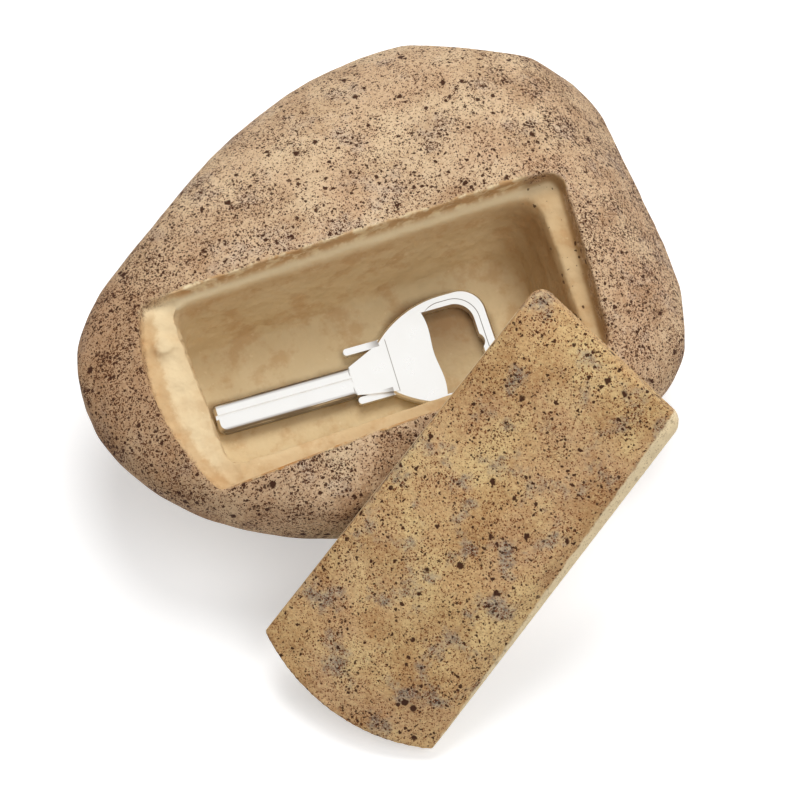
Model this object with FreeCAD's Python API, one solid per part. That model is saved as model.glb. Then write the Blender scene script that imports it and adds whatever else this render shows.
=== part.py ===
"""Hide-a-key rock: a hollow cast resin stone, its lid lifted off and leaned on it, and the key it hides.

Millimetres. The stone lies on its back with the key pocket up. The origin is on the surface it stands on,
X runs along the pocket, Y points away from the lid and Z is up.
"""
import FreeCAD, Part
import math
import os

Vec = FreeCAD.Vector

# ---- the stone: upright superellipse sections threaded on a bowed spine -------------------------
left_reach = 61.6          # origin to the left tip
right_reach = 50.7         # origin to the right tip
left_tip_y = -0.6
left_tip_z = 30.6
right_tip_y = 21.5
right_tip_z = 21.6
spine_bow_y = 0.4          # how far the spine bows between the tips
spine_bow_z = -3.1
stone_roll = -0.4          # degrees, every section turned about X

near_bulge = 53.6          # greatest reach of the sections towards -Y
near_bulge_x = 23.0        # where along X that reach is met
near_fullness = (2.16, 3.75)   # how blunt the stone is towards its left and right tip
far_bulge = 37.2
far_bulge_x = 4.3
far_fullness = (1.55, 1.72)
crown_height = 20.9
crown_x = 28.5
crown_fullness = (2.11, 1.50)
belly_depth = 24.9
belly_x = -4.2
belly_fullness = (1.53, 2.06)
belly_shift = 14.0         # the belly's lowest line stands this far towards -Y

crown_near_exponent = 1.9
crown_far_exponent = 2.58
belly_near_exponent = 2.18
belly_far_exponent = 2.3
tip_facet = 1.1            # the small flat at each tip stands this far inside it
section_count = 9
section_points = 16

# ---- the opening, drawn on a plane tilted about X ------------------------------------------------
opening_x = -6.5
opening_y = -11.6
opening_z = 37.4
opening_tilt = 14.9        # degrees, the opening faces a little towards -Y
far_side_length = 79.1     # the straight side of the rebate away from the lid
arc_end_u = -39.5          # where that side meets the arc end
far_side_v = 18.1
arc_end_width = 36.3
straight_end_width = 34.4
arc_end_slant = 1.9        # the near corners stand this far inwards of the far ones
straight_end_slant = 3.6
arc_bulge = 4.4
rebate_corner = 3.0
ledge_drop_arc_end = 3.4   # depth of the ledge under the opening's plane
ledge_drop_straight_end = 4.5

# ---- the pocket ----------------------------------------------------------------------------------
ledge_far = 0.7
ledge_near_arc_end = 4.2
ledge_near_straight_end = 2.3
ledge_straight_end_far = 3.9
ledge_straight_end_near = 1.8
ledge_arc_end = 5.4
pocket_depth = 23.0
far_wall_lean = 5.2        # how far each wall comes in between the opening's plane and the floor
near_wall_lean = 0.4
straight_wall_lean = 4.6
arc_wall_lean = 0.8
mouth_corner_left = 2.5
mouth_corner_right = 4.0
floor_corner_left = 2.8
floor_corner_right = 7.0
floor_edge_bevel = 0.9

# ---- the locating lump on the arc end's ledge, and its dimple in the lid --------------------------
lump_radius = 2.6
lump_top_radius = 1.7
lump_height = 0.9
lump_u = -37.9
lump_v = 10.1
dimple_gap = 0.35

# ---- the lid ---------------------------------------------------------------------------------------
lid_gap = 0.4              # between the lid's rim and the rebate when it is shut
lid_seat_gap = 0.15
bevel_straight_end = 2.4   # width of the sanded bevel along the lid's near side
bevel_arc_end = 0.6
bevel_slope = 38.0         # degrees down from the opening's plane
lid_heading = 21.1         # degrees from +X to the leaning lid's long axis, seen from above
lid_pitch = 36.0           # how far that axis rises towards the straight end
lid_roll = 25.9
lid_start_x = -4.7
lid_start_y = -53.0        # from here the lid slides towards the stone until it meets it
bevel_reach = 8.0
lean_steps = 12
rest_gap = 0.3             # between bodies that rest on each other

# ---- the key: s along it from the shaft's tip, t across it -----------------------------------------
shaft_length = 25.6
shaft_width = 5.4
shaft_thickness = 2.6
shaft_edge_bevel = 0.4
shaft_groove_width = 0.8
shaft_groove_depth = 0.5
shaft_groove_offset = 0.3
tip_corner_near = 1.6
tip_corner_far = 0.6
collar_groove_width = 0.3
collar_groove_depth = 0.15
head_offset = 1.0          # the head's own axis stands this far across from the shaft's
wedge_length = 7.6
wedge_end_width = 10.0
finger_length = 6.6
finger_width = 1.3
finger_thickness = 1.3
finger_spread = 9.4        # between the prongs' middles
bow_thickness = 2.1
bow_length = 21.0
bow_width = 20.8
bow_shoulder_width = 10.2
bow_widest_before_end = 7.2
bow_corner = 4.8
bow_edge_bevel = 0.35
loop_length = 9.1
loop_end_bar = 2.7
loop_width = 16.0
loop_corner = 3.6
loop_wave = 0.35
loop_notch_depth = 0.6
loop_notch_radius = 1.6
key_heading = -2.6         # degrees about the pocket floor's normal
key_tip_clearance = 1.8    # from the pocket's arc end wall, at the floor
key_tip_v = -1.2
key_tip_u = arc_end_u + ledge_arc_end + arc_wall_lean + key_tip_clearance
key_length = shaft_length + finger_length + bow_length


def fullness_curve(x, peak_x, fullness):
    """0 at both tips and 1 at peak_x, blunt towards the tips."""
    if x < peak_x:
        part, power = (peak_x - x) / (peak_x + left_reach), fullness[0]
    else:
        part, power = (x - peak_x) / (right_reach - peak_x), fullness[1]
    return max(0.0, 1 - part ** power) ** (1 / power)


def spine(x):
    along = (x + left_reach) / (left_reach + right_reach)
    bow = 4 * along * (1 - along)
    return (left_tip_y + (right_tip_y - left_tip_y) * along + spine_bow_y * bow,
            left_tip_z + (right_tip_z - left_tip_z) * along + spine_bow_z * bow)


def section_point(x, angle):
    """A point on the stone's skin: the section at x, angle 0 towards +Y and 90 degrees up."""
    across, up = math.cos(angle), math.sin(angle)
    far_side, crown = across >= 0, up >= 0
    if crown:
        exponent = crown_far_exponent if far_side else crown_near_exponent
        reach_z = crown_height * fullness_curve(x, crown_x, crown_fullness)
    else:
        exponent = belly_far_exponent if far_side else belly_near_exponent
        reach_z = belly_depth * fullness_curve(x, belly_x, belly_fullness)
    if far_side:
        reach_y = far_bulge * fullness_curve(x, far_bulge_x, far_fullness)
    else:
        reach_y = near_bulge * fullness_curve(x, near_bulge_x, near_fullness)
    unit_y = math.copysign(abs(across) ** (2 / exponent), across)
    unit_z = math.copysign(abs(up) ** (2 / exponent), up)
    y = reach_y * unit_y
    z = reach_z * unit_z
    if not crown:
        y -= belly_shift * unit_z ** 2 * reach_z / belly_depth
    roll = math.radians(stone_roll)
    spine_y, spine_z = spine(x)
    return Vec(x, spine_y + y * math.cos(roll) - z * math.sin(roll),
               spine_z + y * math.sin(roll) + z * math.cos(roll))


def closed_spline(points):
    curve = Part.BSplineCurve()
    curve.interpolate(Points=points, PeriodicFlag=True, Parameters=list(range(len(points) + 1)))
    return Part.Wire(curve.toShape())


def whole_stone():
    """The pebble before anything is cut, with the flat it rests on."""
    middle = (right_reach - left_reach) / 2
    half = (right_reach + left_reach) / 2
    first = math.acos(1 - tip_facet / half)
    sections = []
    for i in range(section_count):
        x = middle - half * math.cos(first + (math.pi - 2 * first) * i / (section_count - 1))
        ring = [section_point(x, 2 * math.pi * k / section_points) for k in range(section_points)]
        sections.append(closed_spline(ring))
    pebble = Part.makeLoft(sections, True, False, False)
    size = 4 * (left_reach + right_reach)
    return pebble.cut(Part.makeBox(size, size, size, Vec(-size / 2, -size / 2, -size)))


# ---- sketches on the opening's plane: u along the pocket, v across it, w out of it ---------------
to_opening = FreeCAD.Placement(Vec(opening_x, opening_y, opening_z),
                               FreeCAD.Rotation(Vec(1, 0, 0), opening_tilt))


def rebate_corners():
    far_left = Vec(arc_end_u, far_side_v)
    far_right = Vec(arc_end_u + far_side_length, far_side_v)
    near_right = Vec(far_right.x - straight_end_slant, far_side_v - straight_end_width)
    near_left = Vec(arc_end_u + arc_end_slant, far_side_v - arc_end_width)
    return far_left, far_right, near_right, near_left


def rebate_face():
    """The rebate's outline: three straight sides and an arc end, its right corners rounded."""
    far_left, far_right, near_right, near_left = rebate_corners()
    chord = far_left - near_left
    outward = Vec(-chord.y, chord.x).normalize()
    arc_middle = (far_left + near_left) / 2 + outward * arc_bulge
    straight = Part.makePolygon([far_left, far_right, near_right, near_left]).Edges
    arc = Part.Arc(near_left, arc_middle, far_left).toShape()
    return Part.Face(Part.Wire(straight + [arc]))


def rebate_prism(inset, ledge_lift):
    """Everything over the ledge inside the outline, with its two right corners rounded."""
    outline = rebate_face()
    if inset:
        outline = outline.makeOffset2D(-inset)
    tall = 2 * pocket_depth
    prism = outline.extrude(Vec(0, 0, 2 * tall)).translated(Vec(0, 0, -tall))
    middle_u = arc_end_u + far_side_length / 2
    corners = [e for e in prism.Edges
               if abs(e.BoundBox.ZLength - 2 * tall) < 0.01 and e.BoundBox.XMin > middle_u]
    prism = prism.makeFillet(rebate_corner - inset, corners)
    size = 4 * far_side_length
    fall = math.degrees(math.atan2(ledge_drop_straight_end - ledge_drop_arc_end, far_side_length))
    over = Part.makeBox(size, size, size, Vec(-size / 2, -size / 2, 0))
    over.rotate(Vec(0, 0, 0), Vec(0, 1, 0), fall)
    return prism.common(over.translated(Vec(arc_end_u, 0, ledge_lift - ledge_drop_arc_end)))


def rounded_quad(corners, radii, w):
    """A closed wire through four corners, each rounded by its own radius."""
    edges, ends = [], []
    for i in range(4):
        corner, before, after = corners[i], corners[i - 1], corners[(i + 1) % 4]
        back = (before - corner).normalize()
        ahead = (after - corner).normalize()
        half_angle = back.getAngle(ahead) / 2
        setback = radii[i] / math.tan(half_angle)
        middle = (back + ahead).normalize() * (radii[i] / math.sin(half_angle) - radii[i])
        start, end = corner + back * setback, corner + ahead * setback
        lift = Vec(0, 0, w)
        edges.append(Part.Arc(start + lift, corner + middle + lift, end + lift).toShape())
        ends.append((start + lift, end + lift))
    sides = [Part.makeLine(ends[i][1], ends[(i + 1) % 4][0]) for i in range(4)]
    return Part.Wire([e for pair in zip(edges, sides) for e in pair])


def pocket_quads():
    far_left, far_right, near_right, near_left = rebate_corners()
    mouth = (far_left + Vec(ledge_arc_end, -ledge_far),
             far_right + Vec(-ledge_straight_end_far, -ledge_far),
             near_right + Vec(-ledge_straight_end_near, ledge_near_straight_end),
             near_left + Vec(ledge_arc_end - arc_end_slant, ledge_near_arc_end))
    floor = (mouth[0] + Vec(arc_wall_lean, -far_wall_lean),
             mouth[1] + Vec(-straight_wall_lean, -far_wall_lean),
             mouth[2] + Vec(-straight_wall_lean, near_wall_lean),
             mouth[3] + Vec(arc_wall_lean, near_wall_lean))
    return mouth, floor


def pocket_solid():
    """The drafted pocket from the opening down to its floor, with the floor's edge bevelled."""
    mouth, floor = pocket_quads()
    mouth_radii = (mouth_corner_left, mouth_corner_right, mouth_corner_left, mouth_corner_left)
    floor_radii = (floor_corner_left, floor_corner_right, floor_corner_left, floor_corner_left)
    step = floor_edge_bevel
    inner = [corner + Vec(side_u * step, side_v * step)
             for corner, (side_u, side_v) in zip(floor, ((1, -1), (-1, -1), (-1, 1), (1, 1)))]
    inner_radii = [radius - step for radius in floor_radii]
    wires = [rounded_quad(mouth, mouth_radii, 0.0),
             rounded_quad(floor, floor_radii, step - pocket_depth),
             rounded_quad(inner, inner_radii, -pocket_depth)]
    return Part.makeLoft(wires, True, True)


def ledge_w(u):
    """Height of the ledge's plane at u."""
    fall = (ledge_drop_straight_end - ledge_drop_arc_end) / far_side_length
    return -ledge_drop_arc_end - fall * (u - arc_end_u)


def lump(gap):
    """The low blunt cone on the ledge, grown by a clearance for the dimple in the lid."""
    root = ledge_w(lump_u) - lump_height
    flare = lump_radius - lump_top_radius
    return Part.makeCone(lump_radius + flare + gap, lump_top_radius + gap, 2 * lump_height + gap,
                         Vec(lump_u, lump_v, root))


def skin_w(shape, u, v):
    """Height of the shape's top over a point of the opening's plane."""
    line = Part.makeLine(Vec(u, v, -pocket_depth), Vec(u, v, 2 * pocket_depth))
    return line.common(shape).BoundBox.ZMax


def bevel_cutter(lid):
    """What the sanding takes off the lid's near long side, widest at the straight end."""
    near_right, near_left = rebate_corners()[2:]
    ends = []
    for corner, width, inward in ((near_left, bevel_arc_end, 1), (near_right, bevel_straight_end, -1)):
        foot = corner + Vec(inward * 2 * rebate_corner, lid_gap)
        top = skin_w(lid, foot.x, foot.y + width)
        slope = math.radians(bevel_slope)
        down = Vec(0, -math.cos(slope), -math.sin(slope))
        inner = Vec(corner.x - inward * rebate_corner, foot.y + width, top)
        ends.append([inner - down * bevel_reach, inner + down * 2 * bevel_reach,
                     inner - down * bevel_reach + Vec(0, -2 * bevel_reach, bevel_reach)])
    return Part.makeLoft([Part.makePolygon(end + end[:1]) for end in ends], True, True)


def seated_lid(stone):
    """The lid as it was cast in its rebate, in the opening's own axes."""
    slab = stone.transformed(to_opening.inverse().toMatrix()).common(rebate_prism(lid_gap, lid_seat_gap))
    slab = slab.cut(lump(dimple_gap))
    return slab.cut(bevel_cutter(slab)).Solids[0]


def hollow_stone(stone):
    cut = rebate_prism(0, 0).cut(lump(0)).fuse(pocket_solid())
    cut.Placement = to_opening
    return stone.cut(cut).Solids[0]


def leaned(lid, body):
    """The lid stood on the arc end's corner, then slid to the stone until it nearly touches."""
    turn = FreeCAD.Rotation(Vec(0, 0, 1), lid_heading)
    turn = turn * FreeCAD.Rotation(Vec(0, 1, 0), -lid_pitch) * FreeCAD.Rotation(Vec(1, 0, 0), lid_roll)
    lid = lid.transformed(FreeCAD.Placement(Vec(lid_start_x, lid_start_y, 0), turn).toMatrix())
    lid = lid.translated(Vec(0, 0, rest_gap - lid.optimalBoundingBox(False, False).ZMin))
    for _ in range(lean_steps):
        free = lid.distToShape(body)[0] - rest_gap
        lid = lid.translated(Vec(0, free, 0))
    return lid


# ---- the key, lying flat with its back at z = 0 ----------------------------------------------------
def rod(start, end, width, thickness, base):
    return Part.makeBox(end - start, width, thickness, Vec(start, -width / 2, base))


def key_shaft():
    shaft = rod(0, shaft_length + wedge_length / 2, shaft_width, shaft_thickness, 0)
    upright = [e for e in shaft.Edges if e.BoundBox.XMax < 0.01 and e.BoundBox.ZLength > 1]
    near = [e for e in upright if e.BoundBox.YMax < 0]
    shaft = shaft.makeFillet(tip_corner_near, near)
    upright = [e for e in shaft.Edges if e.BoundBox.XMax < 0.01 and e.BoundBox.ZLength > 1
               and e.BoundBox.YMin > shaft_width / 2 - 0.01]
    shaft = shaft.makeFillet(tip_corner_far, upright)
    long_edges = [e for e in shaft.Edges if e.BoundBox.XLength > shaft_length / 2]
    shaft = shaft.makeChamfer(shaft_edge_bevel, long_edges)
    groove = rod(-1, shaft_length, shaft_groove_width, shaft_groove_depth, 0)
    shaft = shaft.cut(groove.translated(Vec(0, shaft_groove_offset, shaft_thickness - shaft_groove_depth)))
    shaft = shaft.cut(groove.translated(Vec(0, -shaft_groove_offset, 0)))
    inner = rod(shaft_length - collar_groove_width, shaft_length,
                shaft_width - 2 * collar_groove_depth, shaft_thickness - 2 * collar_groove_depth,
                collar_groove_depth)
    ring = rod(shaft_length - collar_groove_width, shaft_length, 2 * shaft_width, 2 * shaft_thickness,
               -shaft_thickness / 2)
    return shaft.cut(ring.cut(inner))


def flat_plate(wire, thickness):
    face = Part.Face(wire)
    return face.extrude(Vec(0, 0, thickness)).translated(Vec(0, 0, (shaft_thickness - thickness) / 2))


def key_wedge():
    """The thick part that flares from the shaft into the head."""
    start, end = shaft_length, shaft_length + wedge_length
    outline = [Vec(start, -shaft_width / 2), Vec(end, head_offset - wedge_end_width / 2),
               Vec(end, head_offset + wedge_end_width / 2), Vec(start, shaft_width / 2)]
    return flat_plate(Part.makePolygon(outline + outline[:1]), shaft_thickness)


def key_fingers():
    """The two rounded prongs beside the wedge."""
    fingers = []
    for side in (-1, 1):
        middle = head_offset + side * finger_spread / 2
        radius = finger_width / 2
        bar = Part.makeBox(finger_length + finger_width, finger_width, finger_thickness,
                           Vec(shaft_length, middle - radius, (shaft_thickness - finger_thickness) / 2))
        tips = [e for e in bar.Edges if e.BoundBox.XMax < shaft_length + 0.01 and e.BoundBox.ZLength > 1]
        fingers.append(bar.makeFillet(0.98 * radius, tips))
    return fingers


def bow_outline():
    """Half the bow is drawn from the shoulder to the end, then mirrored across the head's axis."""
    shoulder = Vec(key_length - bow_length, bow_shoulder_width / 2)
    widest = Vec(key_length - bow_widest_before_end, bow_width / 2)
    closing = Vec(key_length - bow_corner, widest.y)
    corner = Vec(key_length, widest.y - bow_corner)
    chord = widest - shoulder
    radius = chord.Length ** 2 / (2 * chord.y)
    half_turn = math.asin(chord.x / radius) / 2
    swelled = widest + Vec(-math.sin(half_turn), math.cos(half_turn) - 1) * radius
    slant = bow_corner * math.sqrt(0.5)
    turned = Vec(corner.x - bow_corner + slant, corner.y + slant)
    upper = [Part.Arc(shoulder, swelled, widest).toShape(), Part.makeLine(widest, closing),
             Part.Arc(closing, turned, corner).toShape()]
    lower = [e.mirror(Vec(0, 0, 0), Vec(0, 1, 0)) for e in upper]
    straight = [Part.makeLine(corner, Vec(corner.x, -corner.y)),
                Part.makeLine(Vec(shoulder.x, -shoulder.y), shoulder)]
    return Part.Wire(Part.__sortEdges__(upper + lower + straight))


def loop_face():
    """The bow's window: a wavy side towards the shaft and rounded corners at the far end."""
    half, end = loop_width / 2, key_length - loop_end_bar
    start = end - loop_length
    quarter = half / 2
    wave = Part.BSplineCurve()
    wave.interpolate(Points=[Vec(start, -half), Vec(start + loop_wave, -quarter), Vec(start, 0),
                             Vec(start + loop_wave, quarter), Vec(start, half)])
    upper = Part.makeLine(Vec(start, half), Vec(end - loop_corner, half))
    lower = Part.makeLine(Vec(end - loop_corner, -half), Vec(start, -half))
    slant = loop_corner * (1 - math.sqrt(0.5))
    corners = [Part.Arc(Vec(end - loop_corner, side * half), Vec(end - slant, side * (half - slant)),
                        Vec(end, side * (half - loop_corner))).toShape() for side in (-1, 1)]
    back = Part.makeLine(Vec(end, half - loop_corner), Vec(end, loop_corner - half))
    return Part.Face(Part.Wire(Part.__sortEdges__([wave.toShape(), upper, lower, back] + corners)))


def key_solid():
    bow = flat_plate(bow_outline(), bow_thickness)
    shoulder = key_length - bow_length
    rim = [e for e in bow.Edges if e.BoundBox.ZLength < 0.01 and e.BoundBox.XMax > shoulder + 1]
    bow = bow.makeChamfer(bow_edge_bevel, rim).translated(Vec(0, head_offset, 0))
    notch_middle = key_length - loop_end_bar + loop_notch_depth - loop_notch_radius
    through = 3 * shaft_thickness
    hole = loop_face().extrude(Vec(0, 0, through)).translated(Vec(0, head_offset, -shaft_thickness))
    notch = Part.makeCylinder(loop_notch_radius, through, Vec(notch_middle, head_offset, -shaft_thickness))
    key = bow.fuse([key_shaft(), key_wedge()] + key_fingers())
    return key.cut(hole).cut(notch).Solids[0]


os.makedirs("parts", exist_ok=True)
stone = whole_stone()
rock_body = hollow_stone(stone)
lid = leaned(seated_lid(stone), rock_body)
key = key_solid()
on_floor = FreeCAD.Placement(Vec(key_tip_u, key_tip_v, rest_gap - pocket_depth),
                             FreeCAD.Rotation(Vec(0, 0, 1), key_heading))
key = key.transformed(to_opening.multiply(on_floor).toMatrix())
for name, shape in (("rock_body", rock_body), ("lid", lid), ("key", key)):
    shape.exportStep("parts/" + name + ".step")
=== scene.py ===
# %% [markdown]
# # A hide-a-key rock
# The object is a hollow imitation stone cast in resin. It lies on its back with its pocket open, a
# nickel-plated key inside and its lid leaned on it. The solids come from the CAD frame, and
# Blender gives them their worn shape, paint and metal. Everything is in metres.

import math

import bmesh
import bpy
from mathutils import Euler, Matrix, Vector, noise


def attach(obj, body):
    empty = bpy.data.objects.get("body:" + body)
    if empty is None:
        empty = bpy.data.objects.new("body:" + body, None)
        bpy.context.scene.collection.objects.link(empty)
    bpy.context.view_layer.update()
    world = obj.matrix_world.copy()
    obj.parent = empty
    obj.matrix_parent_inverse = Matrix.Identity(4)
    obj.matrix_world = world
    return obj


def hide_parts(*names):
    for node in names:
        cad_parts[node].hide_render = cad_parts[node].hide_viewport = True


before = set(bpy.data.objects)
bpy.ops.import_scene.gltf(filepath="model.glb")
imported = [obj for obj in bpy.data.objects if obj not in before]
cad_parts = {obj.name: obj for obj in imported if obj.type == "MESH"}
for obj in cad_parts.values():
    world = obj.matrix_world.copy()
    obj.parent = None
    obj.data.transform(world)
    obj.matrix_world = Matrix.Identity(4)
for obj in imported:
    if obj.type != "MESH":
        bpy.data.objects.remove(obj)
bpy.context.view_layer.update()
MM = 0.001
scene = bpy.context.scene

# %% [markdown]
# ## Camera
# A long lens from well above keeps the stone's outline calm, as in a catalogue picture. The camera
# looks down at 60 degrees, turned a little to the left of the pocket's near side.

# %% Camera
camera_place = Vector((-113.96, -296.88, 539.62)) * MM
camera_aim = Vector((-6.45, -16.8, 20.0)) * MM
camera = bpy.data.objects.new("camera", bpy.data.cameras.new("camera"))
camera.data.sensor_width = 36.0
camera.data.lens = 151.2
camera.data.clip_start = 0.01
camera.location = camera_place
camera.rotation_euler = (camera_aim - camera_place).to_track_quat("-Z", "Y").to_euler()
scene.collection.objects.link(camera)
scene.camera = camera
scene.view_settings.view_transform = "Standard"
print("camera", tuple(round(v, 3) for v in camera.location))

# %% [markdown]
# ## Shader sums
# A material is mostly arithmetic: masks are added, multiplied and clipped. A small class wraps a
# node's output socket, so that the arithmetic can be written as it would be on paper.


# %% A wrapped socket
class Wire:
    """One output socket of a material, which can be used in sums."""

    def __init__(self, tree, socket):
        self.tree = tree
        self.socket = socket

    def node(self, kind, settings=None, out=0, **values):
        """Adds a node, sets it, fills its sockets and returns the outputs asked for."""
        made = self.tree.nodes.new(kind)
        for name, value in (settings or {}).items():
            setattr(made, name, value)
        for name, value in values.items():
            key = int(name[1:]) if name[1:].isdigit() else name.replace("_", " ")
            target = made.inputs[key]
            if isinstance(value, Wire):
                self.tree.links.new(value.socket, target)
            else:
                target.default_value = value
        if isinstance(out, tuple):
            return [Wire(self.tree, made.outputs[key]) for key in out]
        return None if out is None else Wire(self.tree, made.outputs[out])

    def math(self, operation, first, second=0.0):
        return self.node("ShaderNodeMath", {"operation": operation}, _0=first, _1=second)

    def __add__(self, other):
        return self.math("ADD", self, other)

    def __sub__(self, other):
        return self.math("SUBTRACT", self, other)

    def __rsub__(self, other):
        return self.math("SUBTRACT", other, self)

    def __mul__(self, other):
        return self.math("MULTIPLY", self, other)

    def __truediv__(self, other):
        return self.math("DIVIDE", self, other)

    def __pow__(self, other):
        return self.math("POWER", self, other)

    def larger(self, other):
        return self.math("MAXIMUM", self, other)

    def size(self):
        return self.math("ABSOLUTE", self)

    def above(self, level, soft):
        """0 well under the level and 1 well over it, blended over twice soft."""
        return self.node("ShaderNodeMapRange", {"interpolation_type": "SMOOTHSTEP"},
                         Value=self, From_Min=level - soft, From_Max=level + soft)

    def blend(self, first, second):
        """A colour between two, by this factor."""
        return self.node("ShaderNodeMix", {"data_type": "RGBA"}, 2, _0=self, _6=first, _7=second)

    def parts(self):
        """The three parts of a vector or a colour."""
        return self.node("ShaderNodeSeparateXYZ", None, (0, 1, 2), _0=self)


def new_material(name):
    """An empty material and its object coordinates, from which its patterns start."""
    material = bpy.data.materials.new(name)
    material.use_nodes = True
    tree = material.node_tree
    tree.nodes.clear()
    coordinates = tree.nodes.new("ShaderNodeTexCoord")
    return material, Wire(tree, coordinates.outputs["Object"])


def finish_material(start, color, roughness, bump=None, bump_depth=0.0, metallic=0.0, ior=1.45):
    """The shader and the output, with an optional bump of a height in metres."""
    values = {"Base_Color": color, "Roughness": roughness, "Metallic": metallic, "IOR": ior}
    if bump is not None:
        values["Normal"] = start.node("ShaderNodeBump", Height=bump, Distance=bump_depth,
                                      Strength=1.0)
    surface = start.node("ShaderNodeBsdfPrincipled", **values)
    start.node("ShaderNodeOutputMaterial", None, None, Surface=surface)


def srgb(red, green, blue):
    """A colour given in screen values from 0 to 255."""
    def linear(value):
        value /= 255.0
        return value / 12.92 if value <= 0.04045 else ((value + 0.055) / 1.055) ** 2.4
    return (linear(red), linear(green), linear(blue), 1.0)


print("middle grey", srgb(128, 128, 128))

# %% [markdown]
# ## The opening's own axes
# The rebate, pocket and lid are drawn on a plane that is tilted about X. A mapping node that runs
# backwards through that tilt gives a material u along the pocket, v across it and w out of it. The
# lid was cast in the same place, so its mapping only has another tilt.

# %% Where the opening and the lid lie
opening_place = Vector((-6.5, -11.6, 37.4)) * MM
opening_turn = Euler((math.radians(14.9), 0.0, 0.0))
lid_place = Vector((-4.7, -50.88, 30.94)) * MM
lid_turn = Euler((math.radians(25.9), math.radians(-36.0), math.radians(21.1)))
pocket_depth = 23.0 * MM


def local_axes(start, place, turn):
    """A point seen from turned axes: its vector, and its three parts."""
    vector = start.node("ShaderNodeMapping", {"vector_type": "TEXTURE"}, Vector=start,
                        Location=tuple(place), Rotation=tuple(turn))
    return vector, vector.parts()


print("opening", tuple(opening_place), "lid", tuple(lid_place))

# %% [markdown]
# ## The outline
# Three straight sides and an arc bound the opening, and the two corners away from the arc are
# rounded. The distance to that outline parts paint from bare resin, and worn skin from the rebate.
# It is worked out for the wires of a material and for the numbers of a mesh point by the same sums.

# %% Distance to the outline
far_left = Vector((-39.5, 18.1)) * MM
far_right = Vector((39.6, 18.1)) * MM
near_right = Vector((36.0, -16.3)) * MM
near_left = Vector((-37.6, -18.2)) * MM
arc_bulge = 4.4 * MM
corner_radius = 3.0 * MM


def outward(first, second):
    """The unit normal on the left of a side, which points outwards on a clockwise walk."""
    along = (second - first).normalized()
    return Vector((-along.y, along.x))


def arc_circle():
    """Centre and radius of the arc end, which stands out from its chord by the bulge."""
    chord = far_left - near_left
    radius = chord.length ** 2 / (8 * arc_bulge) + arc_bulge / 2
    middle = (far_left + near_left) / 2
    return middle - outward(near_left, far_left) * (radius - arc_bulge), radius


arc_centre, arc_radius = arc_circle()
sides = [(first, outward(first, second)) for first, second in
         ((far_left, far_right), (far_right, near_right), (near_right, near_left))]


def larger(first, second):
    """The larger of two values, for wires and for numbers."""
    return first.larger(second) if isinstance(first, Wire) else max(first, second)


def distance_round(first, second, radius):
    """The distance outside two sides that meet in a rounded corner."""
    first, second = larger(first + radius, 0.0), larger(second + radius, 0.0)
    return (first * first + second * second) ** 0.5 - radius


def outline_distance(u, v):
    """Distances outside the outline, its near side and its arc end, negative inside."""
    far, right, near = [u * normal.x + v * normal.y - corner.dot(normal)
                        for corner, normal in sides]
    left_u, off_v = larger(arc_centre.x - u, 0.0), v - arc_centre.y
    arc = (left_u * left_u + off_v * off_v) ** 0.5 - arc_radius
    corners = larger(distance_round(far, right, corner_radius),
                     distance_round(near, right, corner_radius))
    return larger(larger(larger(corners, far), near), arc), near, arc


print("arc", tuple(arc_centre), arc_radius, "middle lies", outline_distance(0.0, 0.0)[0])

# %% [markdown]
# ## Speckled paint
# The casting is cream resin. Its outer skin was sprayed tan, clouded with cream, pink and brown,
# and spattered with dark brown from a stiff brush. Each size of spatter is one Voronoi pattern: a
# cell holds a dot whose size is drawn from the cell's own random colour, so most dots are tiny.

# %% Paint
def palette(**shades):
    """Named colours from screen values."""
    return {name: srgb(*shade) for name, shade in shades.items()}


STONE_COAT = palette(ground=(208, 177, 143), warm=(200, 162, 128), pale=(224, 198, 162),
                     dull=(160, 120, 84), cold=(214, 198, 182), dust=(84, 48, 28))
LID_COAT = palette(ground=(210, 172, 122), warm=(204, 164, 126), pale=(230, 202, 146),
                   dull=(168, 122, 76), cold=(176, 162, 142), dust=(112, 64, 36))
SPECK = srgb(60, 32, 20)
SOOT = srgb(88, 78, 74)


def shifted(vector, amount):
    """The vector moved, so that two patterns of one kind don't coincide."""
    return vector.node("ShaderNodeVectorMath", {"operation": "ADD"}, _0=vector, _1=(amount,) * 3)


def cloud(start, vector, size_mm, detail=2.0, shift=0.0, rough=0.5):
    """Soft noise whose patches are about size_mm across, from 0 to 1."""
    return start.node("ShaderNodeTexNoise", Vector=shifted(vector, shift), Scale=1000.0 / size_mm,
                      Detail=detail, Roughness=rough)


def dots(start, vector, cell_mm, largest, rarity, shift=0.0):
    """Round dots, one at most in each cell, whose radius is a random share of the largest."""
    distance, tint = start.node("ShaderNodeTexVoronoi", {"feature": "F1"}, ("Distance", "Color"),
                                Vector=shifted(vector, shift), Scale=1000.0 / cell_mm)
    radius = tint.parts()[0] ** rarity * largest
    return (radius - distance).above(level=0.0, soft=0.04)


def ragged(start, vector, amount_mm, size_mm):
    """The vector pushed about by noise, so that a dot's edge isn't a true circle."""
    def vector_math(operation, **values):
        return start.node("ShaderNodeVectorMath", {"operation": operation}, **values)

    push = start.node("ShaderNodeTexNoise", None, "Color", Vector=vector, Scale=1000.0 / size_mm,
                      Detail=2.0)
    centred = vector_math("SUBTRACT", _0=push, _1=(0.5, 0.5, 0.5))
    return vector_math("ADD", _0=vector, _1=vector_math("SCALE", _0=centred, Scale=amount_mm * MM))


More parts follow.
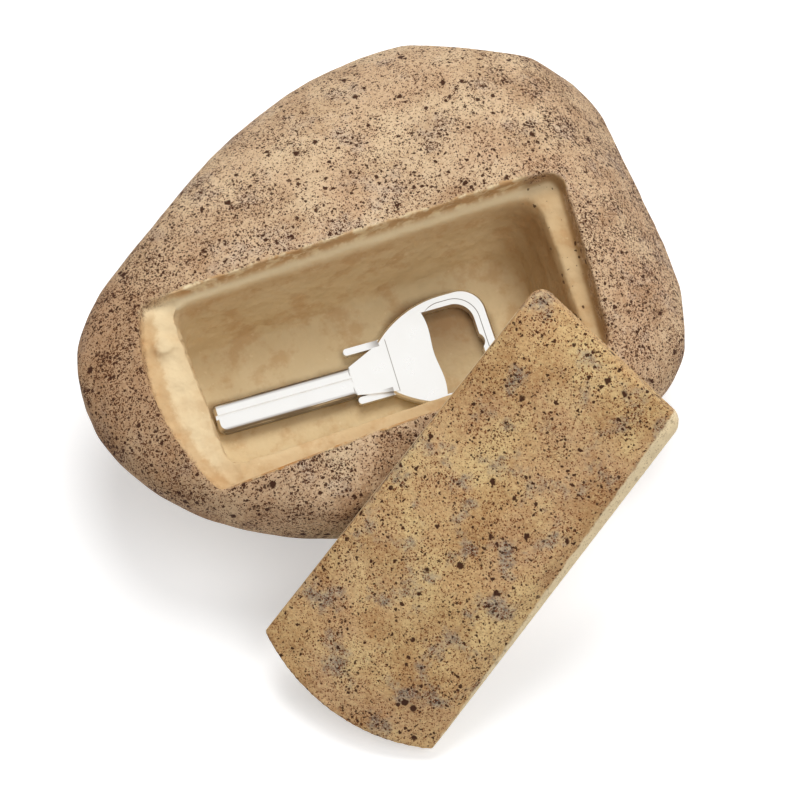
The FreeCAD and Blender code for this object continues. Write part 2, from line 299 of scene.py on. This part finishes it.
def spatter(start, vector, density):
    """Strengths of the dust, of all the darker dots, and of the two largest sizes alone."""
    small = ragged(start, vector, amount_mm=0.45, size_mm=0.35)
    broad = ragged(start, vector, amount_mm=1.0, size_mm=0.8)
    dust = dots(start, small, cell_mm=0.31, largest=density * 0.26 + 0.4, rarity=1.0, shift=0.013)
    more = dots(start, small, cell_mm=0.27, largest=0.62, rarity=1.0, shift=0.051)
    dust = dust.larger(more * density.above(level=0.85, soft=0.3))
    fine = dots(start, small, cell_mm=0.66, largest=density * 0.3 + 0.22, rarity=1.4)
    middle = dots(start, broad, cell_mm=1.35, largest=0.3, rarity=1.6, shift=0.031)
    large = dots(start, broad, cell_mm=3.7, largest=0.18, rarity=1.1, shift=0.077)
    sparse = (middle * 0.95).larger(large * 0.97)
    return dust * 0.95, (fine * 0.9).larger(sparse), sparse


def paint(start, vector, coat, grey, denser):
    """The clouded coat and its spatter. Grey is the strength of the cold clouds."""
    warm = cloud(start, vector, size_mm=16.0, detail=3.0).above(level=0.52, soft=0.12)
    pale = cloud(start, vector, size_mm=12.0, detail=3.0, shift=0.2).above(level=0.54, soft=0.1)
    dull = cloud(start, vector, size_mm=9.0, detail=4.0, shift=0.4).above(level=0.56, soft=0.1)
    cold = cloud(start, vector, size_mm=7.0, detail=4.0, shift=0.6, rough=0.62)
    cold = cold.above(level=0.6, soft=0.09)
    color = (warm * 0.6).blend(coat["ground"], coat["warm"])
    color = (pale * 0.65).blend(color, coat["pale"])
    color = (dull * 0.5).blend(color, coat["dull"])
    color = (cold * grey).blend(color, coat["cold"])

    mottle = cloud(start, vector, size_mm=0.7, detail=4.0, shift=0.8, rough=0.7)
    color = (mottle.above(level=0.56, soft=0.09) * 0.45).blend(color, coat["dull"])
    color = (mottle.above(level=0.42, soft=0.08) * -0.4 + 0.4).blend(color, coat["pale"])
    sooty = cloud(start, vector, size_mm=0.9, detail=4.0, shift=1.1, rough=0.7)
    sooty = sooty.above(level=0.53, soft=0.05) * cold * grey
    color = (sooty * 0.8).blend(color, SOOT)

    density = cloud(start, vector, size_mm=6.0, detail=4.0, shift=0.9, rough=0.6)
    density = density.above(level=0.5, soft=0.16) * 0.6 + 0.25 + cold * 0.3 + denser
    return color, spatter(start, vector, density)


print("coats", sorted(STONE_COAT), "speck", SPECK)

# %% [markdown]
# ## Bare resin
# No paint went into the rebate and the pocket. The resin there is cream at the rim and mottled down
# in the pocket, where it is painted paler with depth to lift the shade. It is rusty where the key
# has lain in the damp, with a painted contact shadow round the key.

# %% Resin and rust
RESIN = srgb(212, 182, 138)
# Paler than RESIN: painted light for the shaded depths of the pocket.
RESIN_LIT_DEEP = srgb(217, 194, 152)
RESIN_PALE = srgb(240, 220, 180)
RESIN_SHADE = srgb(148, 110, 66)
RESIN_STAIN = srgb(180, 126, 68)
RUST_AND_SHADOW = srgb(112, 76, 42)

key_start = Vector((-31.5, -1.2, -22.7)) * MM
key_heading = math.radians(-2.6)
key_turn = (opening_turn.to_matrix() @ Matrix.Rotation(key_heading, 3, "Z")).to_euler()
key_place = opening_place + opening_turn.to_matrix() @ key_start


def resin(start, vector, depth, stained):
    """Bare resin, painted paler by depth to lift the shade in the pocket, and browner where it is
    stained.
    """
    stain = cloud(start, vector, size_mm=5.0, detail=4.0, shift=0.3, rough=0.6)
    mottle = cloud(start, vector, size_mm=8.0, detail=4.0, shift=0.5, rough=0.6)
    fleck = cloud(start, vector, size_mm=1.2, detail=3.0, shift=0.7)
    color = depth.blend(RESIN, RESIN_LIT_DEEP)
    color = (mottle.above(level=0.52, soft=0.14) * 0.22).blend(color, RESIN_PALE)
    color = (stain.above(level=0.57, soft=0.09) * 0.35 + stained).blend(color, RESIN_STAIN)
    return (fleck.above(level=0.7, soft=0.04) * 0.3).blend(color, RESIN_PALE)


def rounded_distance(s, t, middle, half, corner):
    """Distance outside a rounded rectangle."""
    off_s = (s - middle.x).size() - (half.x - corner)
    off_t = (t - middle.y).size() - (half.y - corner)
    out_s, out_t = off_s.larger(0.0), off_t.larger(0.0)
    return (out_s * out_s + out_t * out_t) ** 0.5 - corner


def key_rust_and_shadow(start):
    """Rust seeped from the key into the floor round it, and a painted contact shadow, most on its
    far side.
    """
    vector, (s, t, _) = local_axes(start, key_place, key_turn)
    shaft = rounded_distance(s, t, middle=Vector((14.0, 0.0)) * MM, half=Vector((14.3, 2.7)) * MM,
                             corner=0.6 * MM)
    head = rounded_distance(s, t, middle=Vector((43.4, 1.0)) * MM, half=Vector((9.8, 10.4)) * MM,
                            corner=8.0 * MM)
    uneven = cloud(start, vector, size_mm=4.0, detail=4.0, shift=0.21, rough=0.6) * 1.2 * MM
    within = (shaft * -1.0).larger(head * -1.0) + uneven + 0.3 * MM
    far_side = t.above(level=0.0, soft=7.0 * MM)
    return within.above(level=0.0, soft=1.0 * MM) * (far_side * 0.5 + 0.15)


print("key", tuple(key_place), tuple(key_turn))

# %% [markdown]
# ## The stone's and the lid's finish
# Both are one casting in two pieces. A mask called skin parts paint from bare resin: on the stone
# the paint ends at the outline, and on the lid it ends short of the sanded bevel and of the edges.
# Dust and spots fall on the skin, and a few spots also reached the ledge at the straight end. The
# paint's border wavers, because it was sprayed without a mask.

# %% Both castings
bevel_run = 75.0 * MM


def wavering(start, vector):
    """A border's uneven shift, up to 1.1 mm to each side."""
    shift = cloud(start, vector, size_mm=2.6, detail=4.0, shift=0.15, rough=0.65) - 0.5
    return shift * (2.2 * MM)


def stone_layers(start, vector, u, v, w):
    """The stone's skin mask, resin and paint, and the strengths of its dust and spots."""
    edge, _, arc = outline_distance(u, v)
    waver = wavering(start, vector)
    arc_end = (u * -1.0).above(level=35.0 * MM, soft=3.0 * MM)
    right_end = (u - 29.0 * MM).above(level=3.5 * MM, soft=1.5 * MM)
    right_end = right_end * w.above(level=-7.0 * MM, soft=1.0 * MM)
    deep = (w * -1.0).above(level=8.0 * MM, soft=5.0 * MM)

    within = edge * -1.0 + waver * (arc_end * 0.9 + 0.7) - right_end * (0.45 * MM)
    crisp = within.above(level=-0.45 * MM, soft=0.3 * MM)
    fuzzy = within.above(level=0.2 * MM, soft=1.1 * MM)
    inside = crisp + arc_end * (fuzzy - crisp)
    skin = 1.0 - inside * w.above(level=-pocket_depth - 1.0 * MM, soft=0.2 * MM)

    streaks = cloud(start, vector, size_mm=3.0, detail=3.0, shift=0.33, rough=0.6)
    rim = 1.0 - (edge * -1.0).above(level=0.5 * MM, soft=0.6 * MM)
    stained = rim * streaks.above(level=0.45, soft=0.1) * 0.75
    stained = stained * (1.0 - right_end) * (1.0 - arc_end * 0.7)
    bare = resin(start, vector, deep, stained)
    # Painted light: the far band of the rebate, which lies in shade, is made paler.
    lit_far_band = v.above(level=16.0 * MM, soft=1.2 * MM) * w.above(level=-5.5 * MM, soft=1.0 * MM)
    bare = (lit_far_band * (1.0 - stained) * 0.9).blend(bare, RESIN_PALE)
    # Painted shade: the pocket's right wall under the ledge, which faces away from the light, is
    # darkened.
    right_wall_shade = u.above(level=29.0 * MM, soft=7.0 * MM)
    right_wall_shade = right_wall_shade * (w * -1.0).above(level=6.5 * MM, soft=1.2 * MM)
    bare = (right_wall_shade * 0.85).blend(bare, RESIN_SHADE)
    # Painted shade on the rebate's wall at the straight end.
    rebate_wall_shade = right_end * edge.above(level=-0.7 * MM, soft=0.4 * MM)
    bare = (rebate_wall_shade * 0.75).blend(bare, RESIN_SHADE)
    cream = (arc * -1.0 + waver * 1.6).above(level=3.0 * MM, soft=0.7 * MM)
    cream = cream * w.above(level=-6.3 * MM, soft=0.6 * MM)
    bare = (arc_end * (1.0 - cream) * 0.14).blend(bare, RESIN_STAIN)
    bare = (arc_end * cream * 0.6).blend(bare, RESIN_PALE)
    # Painted shade over the straight end's ledge.
    bare = (right_end * 0.22).blend(bare, RESIN_SHADE)
    # Rust round the key on the pocket's floor, with a painted contact shadow.
    bare = (key_rust_and_shadow(start) * deep).blend(bare, RUST_AND_SHADOW)

    # More spots on the left flank, a painted shade for its darkness, and on the right, where the
    # spatter is thicker.
    denser = (u * -1.0).above(level=28.0 * MM, soft=22.0 * MM) * 0.35
    denser = denser + u.above(level=38.0 * MM, soft=10.0 * MM) * 0.3
    painted, (dust, dark, sparse) = paint(start, vector, STONE_COAT, grey=0.35, denser=denser)
    # Painted light and shade: the stone's far side is paler and its left flank browner, as the
    # light falls from behind on the right.
    far_side_light = v.above(level=24.0 * MM, soft=12.0 * MM) * 0.2
    painted = far_side_light.blend(painted, STONE_COAT["pale"])
    left_flank_shade = (u * -1.0).above(level=34.0 * MM, soft=16.0 * MM) * 0.5
    painted = left_flank_shade.blend(painted, STONE_COAT["dull"])
    return skin, bare, painted, dust * skin, (dark * skin).larger(sparse * (right_end * 0.9))


def lid_layers(start, vector, u, v, w):
    """The same for the lid, which is painted on top as far as its bevel."""
    _, near, _ = outline_distance(u, v)
    bevel = ((u - near_left.x) / bevel_run * 2.3 + 0.4) * MM
    straight_end = u.above(level=33.0 * MM, soft=1.0 * MM)
    straight_end = straight_end * w.above(level=-3.9 * MM, soft=0.2 * MM)
    top = w.above(level=-2.0 * MM, soft=0.5 * MM).larger(straight_end)
    border = (near + bevel + wavering(start, vector) * 0.5) * -1.0
    skin = border.above(level=0.1 * MM, soft=0.25 * MM) * top
    overspray = ((near + bevel * 0.3) * -1.0).above(level=0.0, soft=0.5 * MM) * top
    dusted = skin.larger(overspray * 0.35)

    # The lid's bare resin is cream and is painted paler still, to lift the shade on its bevel,
    # which faces away from the light.
    deep = (w * -1.0).above(level=2.4 * MM, soft=1.0 * MM) * 0.4
    bare = (deep * -1.0 + 0.85).blend(resin(start, vector, deep, stained=0.0), RESIN_PALE)
    painted, (dust, dark, sparse) = paint(start, vector, LID_COAT, grey=0.85, denser=-0.05)
    return skin, bare, painted, dust * dusted, (dark * skin).larger(sparse * dusted)


def casting(name, place, turn, layers, dust_color):
    """Resin, paint on the skin, dust and spots over both, and a bump that is gritty on paint."""
    material, start = new_material(name)
    vector, (u, v, w) = local_axes(start, place, turn)
    skin, bare, painted, dust, spots = layers(start, vector, u, v, w)
    color = dust.blend(skin.blend(bare, painted), dust_color)
    color = spots.blend(color, SPECK)

    grain = cloud(start, vector, size_mm=0.45, detail=3.0, shift=0.1) * 0.6
    grain = grain + cloud(start, vector, size_mm=2.0, detail=3.0, shift=0.5)
    waves = cloud(start, vector, size_mm=4.5, detail=3.0, shift=0.5) * 3.0
    height = skin * (grain - waves) + waves + grain * 0.15 - spots * 0.12
    finish_material(start, color, roughness=skin * 0.2 + 0.58, bump=height, bump_depth=0.3 * MM,
                    ior=1.25)
    return material


stone_finish = casting("cast_stone", opening_place, opening_turn, stone_layers,
                       STONE_COAT["dust"])
lid_finish = casting("cast_lid", lid_place, lid_turn, lid_layers, LID_COAT["dust"])
print("finishes", stone_finish.name, lid_finish.name)

# %% [markdown]
# ## Nickel plate
# The key is plated bright and its stamped lines hold dirt: one across the head where the bow
# begins, one round the window and a short mark at the shoulder of the shaft. Its flat top is clean.
# Its bevelled sides get a streaky painted shade and brown reflection, and the prongs' roots a
# painted shade. All of these follow the distance from the key's own axes.

# %% The key's finish
head_middle = 1.0 * MM
window_middle = Vector((45.95, 1.0)) * MM
window_half = Vector((4.55, 8.0)) * MM
window_corner = 3.6 * MM
ring_place = 25.4 * MM
head_line_place = 33.4 * MM
line_width = 0.07 * MM
NICKEL = srgb(253, 252, 249)
NICKEL_HAZE = srgb(240, 237, 230)
# Dark lines of dirt, and painted shade on the key.
DIRT_AND_SHADE = srgb(84, 64, 44)


def line_at(value, place, width):
    """1 on a line where the value is at the place, 0 away from it."""
    return 1.0 - (value - place).size().above(level=width, soft=width * 0.5)


def nickel():
    """Bright metal with dirt in its lines, painted shade at the prongs' roots and streaky painted
    shade along the shaft's sides.
    """
    material, start = new_material("key_nickel")
    vector, (s, t, _) = local_axes(start, key_place, key_turn)
    off_middle = (t - head_middle).size()
    window = rounded_distance(s, t, window_middle, window_half, window_corner)
    round_window = line_at(window, 1.0 * MM, line_width)
    round_window = round_window * s.above(level=42.5 * MM, soft=1.0 * MM)
    head_line = line_at(s - t * 0.02, head_line_place, line_width)
    head_line = head_line * (1.0 - off_middle.above(level=5.0 * MM, soft=0.3 * MM))
    ring = line_at(s, ring_place, 0.1 * MM) * t.size().above(level=1.2 * MM, soft=0.4 * MM)

    lengthwise = start.node("ShaderNodeMapping", Vector=vector, Scale=(0.06, 1.0, 1.0))
    side_streaks = start.node("ShaderNodeTexNoise", Vector=lengthwise, Scale=2200.0, Detail=3.0)
    on_shaft = 1.0 - s.above(level=25.6 * MM, soft=0.2 * MM)
    # Painted shade and brown reflection along the shaft's bevelled sides, streaked by noise.
    side = t.size().above(level=2.1 * MM, soft=0.4 * MM) * on_shaft
    prong = off_middle.above(level=4.0 * MM, soft=0.05 * MM)
    prong = prong * (1.0 - s.above(level=32.2 * MM, soft=0.1 * MM))
    # Painted shade at the prongs' roots.
    prong_root_shade = prong * s.above(level=31.2 * MM, soft=1.6 * MM)
    dirt_and_shade = (side * side_streaks.above(level=0.38, soft=0.12) * 0.75).larger(round_window * 0.75)
    dirt_and_shade = dirt_and_shade.larger(head_line * 0.6).larger(ring * 0.5).larger(prong_root_shade * 0.6)

    haze = cloud(start, vector, size_mm=5.0, detail=3.0)
    color = dirt_and_shade.blend((haze * 0.3).blend(NICKEL, NICKEL_HAZE), DIRT_AND_SHADE)
    finish_material(start, color, roughness=haze * 0.1 + 0.24 + dirt_and_shade * 0.3, metallic=1.0)
    return material


key_finish = nickel()
print("finish", key_finish.name)

# %% [markdown]
# ## Worn castings
# A real casting has no true edges: its mould was taken from a pebble. The CAD solid is copied, its
# loose triangles are merged, a voxel remesh gives it an even skin, and a little smoothing rounds
# the rims. Then the outer skin is worn with low lumps, and soft flats are pressed into it, always
# inwards so that the size stays.

# %% Copy, remesh and wear
weld_distance = 0.002 * MM
hollow_steps = 24
flat_softness = 0.7 * MM


def remeshed(name, node, voxel):
    """An evenly meshed copy of a CAD node."""
    copy = bpy.data.objects.new(name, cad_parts[node].data.copy())
    scene.collection.objects.link(copy)
    work = bmesh.new()
    work.from_mesh(copy.data)
    bmesh.ops.remove_doubles(work, verts=work.verts[:], dist=weld_distance)
    work.to_mesh(copy.data)
    work.free()
    grid = copy.modifiers.new("even", "REMESH")
    grid.mode = "VOXEL"
    grid.voxel_size = voxel
    evaluated = copy.evaluated_get(bpy.context.evaluated_depsgraph_get())
    even = bpy.data.meshes.new_from_object(evaluated)
    copy.modifiers.clear()
    copy.data = even
    copy.data.name = name
    print(name, len(even.vertices), "points after the remesh")
    return copy


def inward_lumps(point, size_mm, depth, seed):
    """How far the skin is worn in at a point, by noise in layers that get finer and weaker."""
    falloff, finer, layers = 0.9, 2.1, 3
    place = point / (size_mm * MM) + Vector((seed, seed, seed))
    value = noise.fractal(place, falloff, finer, layers)
    return depth * min(1.0, max(0.0, 0.5 + 0.5 * value))


def smooth(work, verts, steps):
    """Moves points halfway towards the middle of their neighbours, again and again."""
    for _ in range(steps):
        bmesh.ops.smooth_vert(work, verts=verts, factor=0.5, use_axis_x=True, use_axis_y=True,
                              use_axis_z=True)


def wear(piece, is_skin, flats, depth, smooth_steps, is_hollow=None, dents=None):
    """Rounds the rims and a hollow's corners, and wears lumps, flats and dents into the mesh."""
    work = bmesh.new()
    work.from_mesh(piece.data)
    smooth(work, work.verts[:], smooth_steps)
    if is_hollow:
        smooth(work, [vert for vert in work.verts if is_hollow(vert.co)], hollow_steps)
    work.normal_update()
    levels = [(normal, max(vert.co.dot(normal) for vert in work.verts) - pressed)
              for normal, pressed in flats]
    moves = []
    for vert in work.verts:
        amount = is_skin(vert.co)
        if amount > 0.0:
            lump = inward_lumps(vert.co, size_mm=9.0, depth=depth, seed=3.7)
            move = -vert.normal * lump * amount
            for normal, reach in levels:
                over = max(0.0, vert.co.dot(normal) - reach)
                move -= normal * over * over / (over + flat_softness) * amount
            moves.append((vert, move))
        elif dents and dents(vert.co) > 0.0:
            dent = inward_lumps(vert.co, size_mm=4.5, depth=dents(vert.co), seed=8.3)
            moves.append((vert, -vert.normal * dent))
    for vert, move in moves:
        vert.co += move
    for face in work.faces:
        face.smooth = True
    work.to_mesh(piece.data)
    work.free()


def dress(piece, material):
    """Gives a piece one material alone."""
    piece.data.materials.clear()
    piece.data.materials.append(material)


print("hollows are smoothed", hollow_steps, "times")

# %% [markdown]
# ## The stone
# Its outer skin wears, but not close to the rebate, where the lid has to fit. The pocket's walls
# are smoothed most, as a soft mould leaves them, and the ledge at the arc end is cast roughest.

# %% The worn stone
to_opening = Matrix.LocRotScale(opening_place, opening_turn, None).inverted()
skin_margin = 0.5 * MM
skin_fade = 3 * MM
below_ledge = -8 * MM
pocket_top = -7.5 * MM
ledge_level = -6 * MM
arc_ledge = -33 * MM
ledge_dent = 1.1 * MM
pocket_dent = 0.25 * MM


def in_outline(local, margin):
    """How far inside the outline a point is, when the outline is grown by a margin."""
    return margin - outline_distance(local.x, local.y)[0]


def stone_skin(point):
    """1 on the outer skin, falling to 0 at the rebate and in the pocket."""
    local = to_opening @ point
    inside = in_outline(local, skin_margin)
    if inside > 0.0 and local.z > -pocket_depth - 2 * MM:
        return 0.0
    if local.z < below_ledge:
        return 1.0
    return min(1.0, -inside / skin_fade)


def pocket_skin(point):
    """Whether a point is on the pocket's walls or floor, well under the ledge."""
    local = to_opening @ point
    return in_outline(local, 0.0) > 0.0 and -pocket_depth - 1 * MM < local.z < pocket_top


def casting_dents(point):
    """How deep dents go: most on the arc end's ledge, a little elsewhere inside the outline."""
    local = to_opening @ point
    if in_outline(local, -0.6 * MM) < 0.0 or local.z < -pocket_depth - 1 * MM:
        return 0.0
    return ledge_dent if local.x < arc_ledge and local.z > ledge_level else pocket_dent


# the direction a flat faces, and how deep it is pressed in
stone_flats = [(Vector((0.406, 0.767, 0.497)), 2.2 * MM),
               (Vector((-0.559, 0.773, 0.301)), 1.5 * MM),
               (Vector((-0.968, 0.242, -0.070)), 1.5 * MM),
               (Vector((0.944, -0.330, 0.018)), 1.0 * MM)]
stone = remeshed("stone_worn", "rock_body", voxel=0.62 * MM)
wear(stone, stone_skin, stone_flats, depth=0.35 * MM, smooth_steps=2, is_hollow=pocket_skin,
     dents=casting_dents)
dress(stone, stone_finish)
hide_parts("rock_body")
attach(stone, "stone")
print("stone", len(stone.data.polygons), "faces")

# %% [markdown]
# ## The lid
# Only the middle of its painted top wears. Its edges are rounded a little and no more, so that it
# still fits its rebate.

# %% The worn lid
to_lid = Matrix.LocRotScale(lid_place, lid_turn, None).inverted()
lid_edge = 1.2 * MM


def lid_skin(point):
    """1 on the painted top, 0 at its edges and below."""
    local = to_lid @ point
    return 1.0 if local.z > -1.0 * MM and in_outline(local, -lid_edge) > 0.0 else 0.0


lid = remeshed("lid_worn", "lid", voxel=0.42 * MM)
wear(lid, lid_skin, flats=[], depth=0.3 * MM, smooth_steps=1)
dress(lid, lid_finish)
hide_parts("lid")
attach(lid, "lid")
print("lid", len(lid.data.polygons), "faces")

# %% [markdown]
# ## The key
# The key's edges are crisp and its solid already carries its groove and bevels, so it keeps its
# CAD mesh and only gets its finish.

# %% The plated key
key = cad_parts["key"]
dress(key, key_finish)
print("key", len(key.data.polygons), "faces")

# %% [markdown]
# ## The floor
# The floor is white. It shows some light of its own to the camera and to reflections only, so that
# it is white away from the object and still keeps the object's shadow.

# %% Floor
RAY_KINDS = ("Is Camera Ray", "Is Glossy Ray", "Is Transmission Ray")
floor_half_width = 3.0


def seen(start):
    """1 for rays from the camera, reflected rays and rays through glass, 0 for all others."""
    camera_ray, glossy_ray, clear_ray = start.node("ShaderNodeLightPath", None, RAY_KINDS)
    return camera_ray.larger(glossy_ray).larger(clear_ray)


def floor_finish():
    """A matte white and a glow that only seen rays find."""
    material, start = new_material("floor")
    matte = start.node("ShaderNodeBsdfDiffuse", Color=(0.85, 0.85, 0.85, 1.0))
    glow = start.node("ShaderNodeEmission", Color=(1.0, 1.0, 1.0, 1.0),
                      Strength=seen(start) * 0.42)
    both = start.node("ShaderNodeAddShader", _0=matte, _1=glow)
    start.node("ShaderNodeOutputMaterial", None, None, Surface=both)
    return material


floor_mesh = bpy.data.meshes.new("floor")
floor_work = bmesh.new()
bmesh.ops.create_grid(floor_work, x_segments=1, y_segments=1, size=floor_half_width)
floor_work.to_mesh(floor_mesh)
floor_work.free()
floor = bpy.data.objects.new("floor", floor_mesh)
scene.collection.objects.link(floor)
dress(floor, floor_finish())
print("floor", tuple(floor.dimensions))

# %% [markdown]
# ## Lamps and sky
# Two round softboxes, one from behind on the right and a weaker one from the front, give soft
# shadows to the lower left. They are hidden from reflections, where they would burn out the key.
# The sky is white in the camera and in reflections, and a third as strong as a light.

# %% Lights
def softbox(name, place, size, power):
    """A round lamp that looks at the object's middle."""
    lamp = bpy.data.lights.new(name, "AREA")
    lamp.shape = "DISK"
    lamp.size = size
    lamp.energy = power
    holder = bpy.data.objects.new(name, lamp)
    holder.location = place
    holder.rotation_euler = (lamp_aim - Vector(place)).to_track_quat("-Z", "Y").to_euler()
    holder.visible_glossy = False
    scene.collection.objects.link(holder)


def sky():
    """The world's own light."""
    world = bpy.data.worlds.new("sky")
    scene.world = world
    world.use_nodes = True
    world.node_tree.nodes.clear()
    start = Wire(world.node_tree, None)
    light = start.node("ShaderNodeBackground", Color=(1.0, 1.0, 1.0, 1.0),
                       Strength=seen(start) * 0.67 + 0.33)
    start.node("ShaderNodeOutputWorld", None, None, Surface=light)


lamp_aim = Vector((0, 0, 0.02))
softbox("key_light", (0.12, 0.24, 0.75), size=0.45, power=3.9)
softbox("front_light", (0.21, -0.415, 0.69), size=0.5, power=1.9)
sky()
